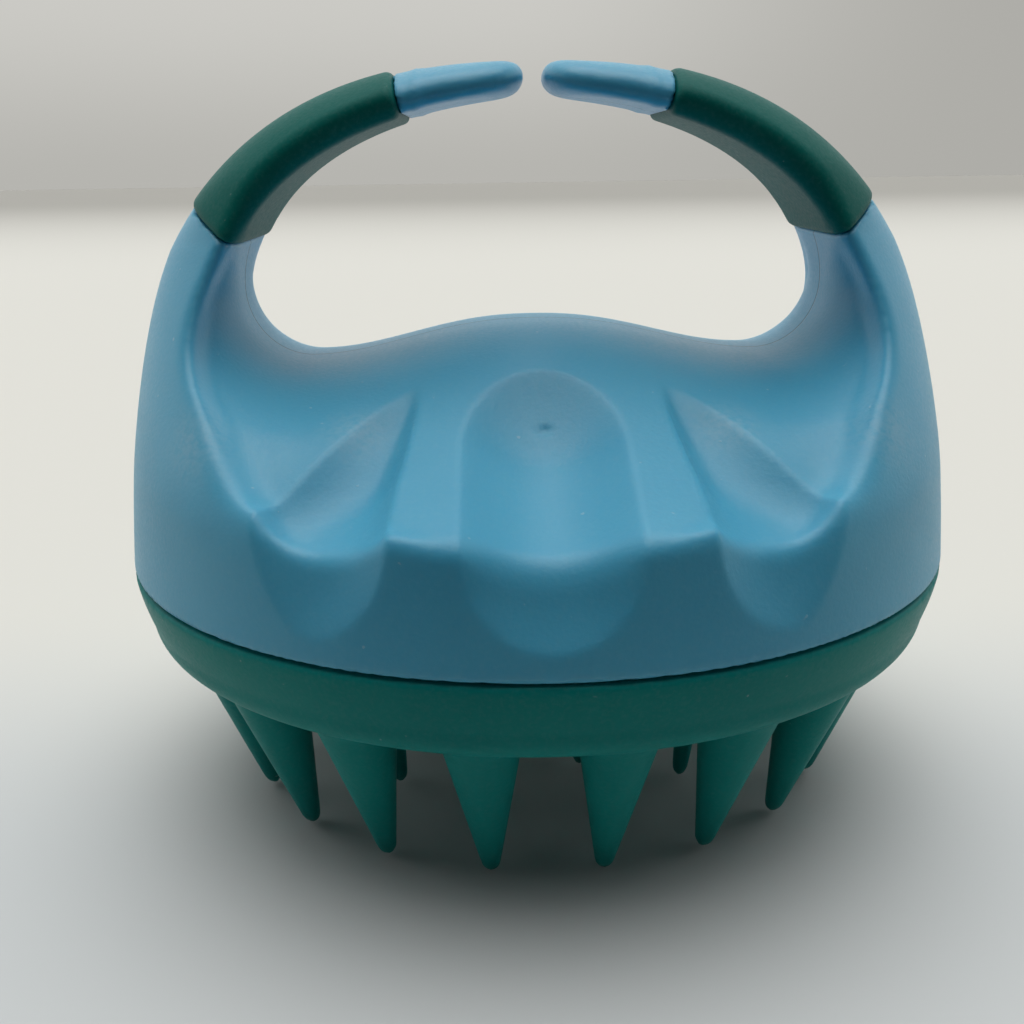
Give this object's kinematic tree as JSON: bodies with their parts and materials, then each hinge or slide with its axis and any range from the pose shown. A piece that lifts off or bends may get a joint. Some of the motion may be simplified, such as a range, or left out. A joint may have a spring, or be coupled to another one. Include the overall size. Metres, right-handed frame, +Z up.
{
  "type": "scalp massager brush",
  "caption": "Hand-held scalp massager brush: hollow oval shell with two finger arms over a finger hole, soft arm grips and a soft bristle pad underneath.",
  "frame": {"origin": "on the surface the bristle tips stand on, under the middle of the brush", "axes": "+X along the long way of the oval, left to right from the front; +Y front to back; +Z up"},
  "size_m": [0.089, 0.077, 0.0775],
  "materials": {
    "shell": "satin light blue",
    "grip": "satin green elastomer",
    "pad": "satin green silicone",
    "plate": "plain moulded"
  },
  "bodies": {
    "root": {"body_shell": "shell", "left_arm_grip": "grip", "right_arm_grip": "grip", "bristle_pad": "pad", "base_plate": "plate"}
  },
  "joints": []
}
